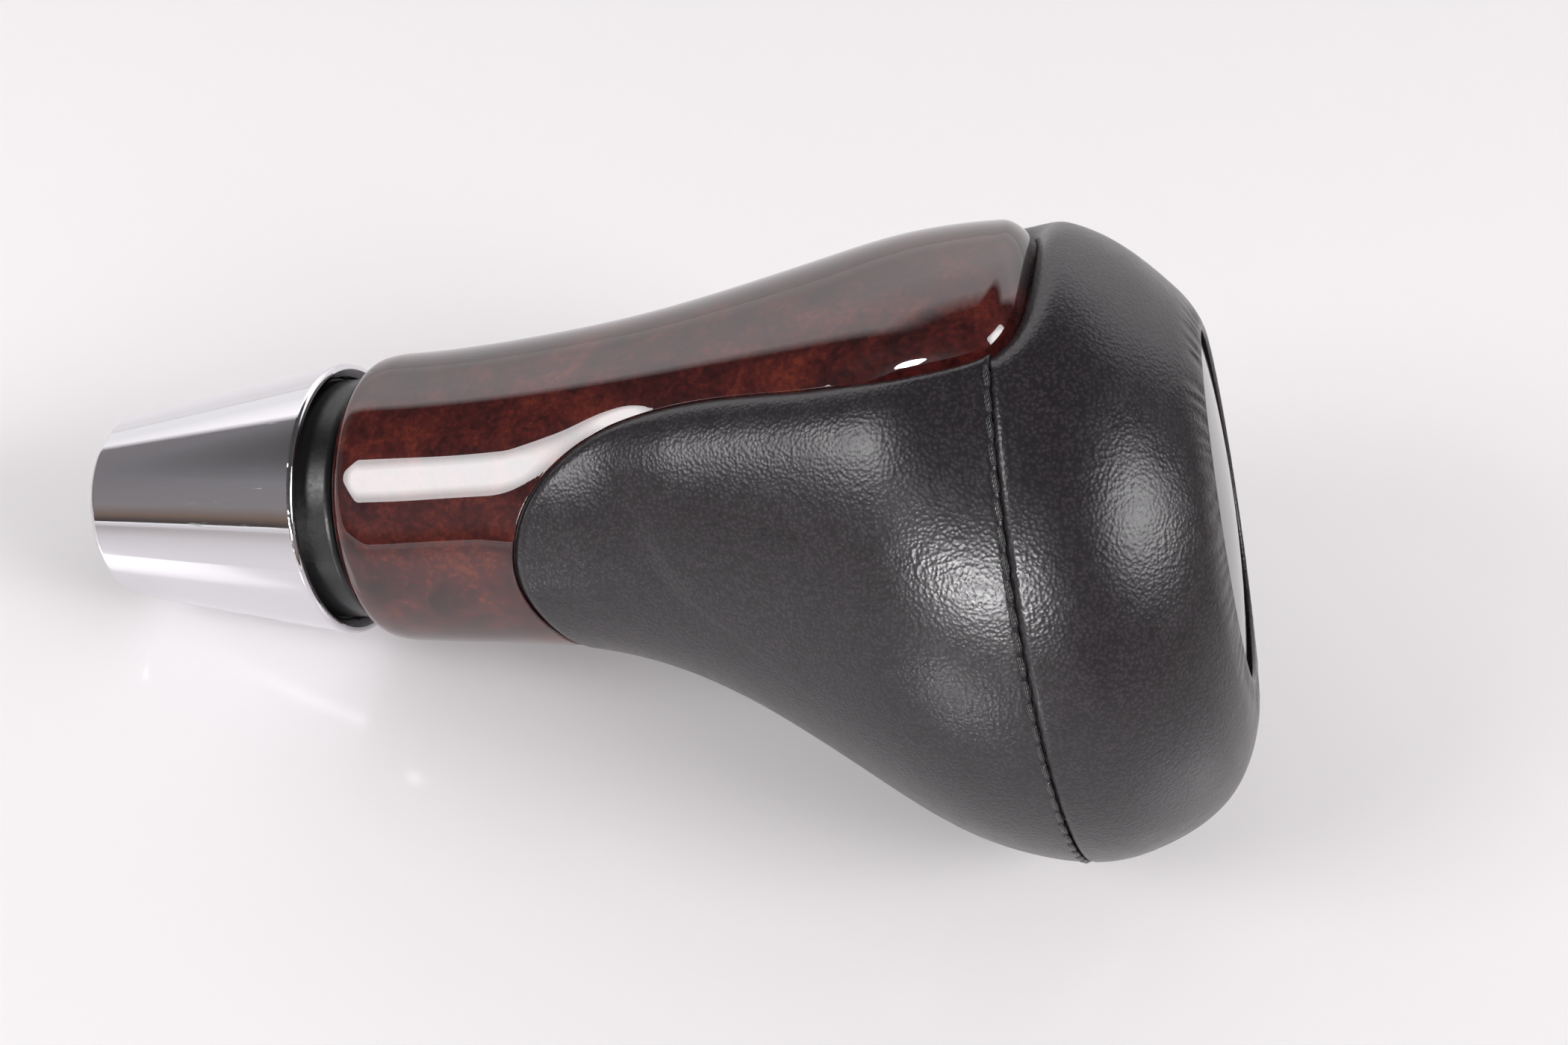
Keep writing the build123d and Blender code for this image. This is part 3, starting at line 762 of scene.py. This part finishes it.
world = bpy.data.worlds.new("pale_room")
bpy.context.scene.world = world
world.use_nodes = True
sky = world.node_tree
background = sky.nodes["Background"]
background.inputs["Color"].default_value = (1.0, 0.985, 0.99, 1.0)
path = sky.nodes.new("ShaderNodeLightPath")
seen = sky.nodes.new("ShaderNodeMath")
seen.operation = "MAXIMUM"
sky.links.new(path.outputs["Is Camera Ray"], seen.inputs[0])
sky.links.new(path.outputs["Is Glossy Ray"], seen.inputs[1])
any_seen = sky.nodes.new("ShaderNodeMath")
any_seen.operation = "MAXIMUM"
sky.links.new(seen.outputs["Value"], any_seen.inputs[0])
sky.links.new(path.outputs["Is Transmission Ray"], any_seen.inputs[1])
level = sky.nodes.new("ShaderNodeMapRange")
behind = sky.nodes.new("ShaderNodeVectorMath")
behind.operation = "DOT_PRODUCT"
behind.inputs[1].default_value = toward(0, 30)
sky.links.new(sky.nodes.new("ShaderNodeTexCoord").outputs["Generated"], behind.inputs[0])
soft = sky.nodes.new("ShaderNodeMapRange")
soft.inputs["From Min"].default_value = -0.6
soft.inputs["To Min"].default_value = 0.16
soft.inputs["To Max"].default_value = 0.53
sky.links.new(behind.outputs["Value"], soft.inputs["Value"])
sky.links.new(soft.outputs["Result"], level.inputs["To Min"])
level.inputs["To Max"].default_value = 1.0
sky.links.new(any_seen.outputs["Value"], level.inputs["Value"])
sky.links.new(level.outputs["Result"], background.inputs["Strength"])

# Camera: at the photograph's viewing angle, in the frame of the object. The lens and the place were fitted to
# the outline of the sleeve and the head.
camera_data = bpy.data.cameras.new("camera")
camera_data.sensor_width = 36.0
camera_data.lens = 41.14
camera_data.clip_start = 0.01
camera = bpy.data.objects.new("camera", camera_data)
bpy.context.collection.objects.link(camera)
CAMERA_RIGHT = Vector((-0.18365, 0.14198, 0.97269))
CAMERA_UP = Vector((-0.52350, -0.85165, 0.02547))
CAMERA_BACK = Vector((0.83200, -0.50452, 0.23073))
camera.matrix_world = Matrix.Translation((0.14686, -0.08479, 0.10518)) @ Matrix(
    (CAMERA_RIGHT, CAMERA_UP, CAMERA_BACK)
).transposed().to_4x4()
bpy.context.scene.camera = camera
bpy.context.scene.view_settings.view_transform = "Standard"
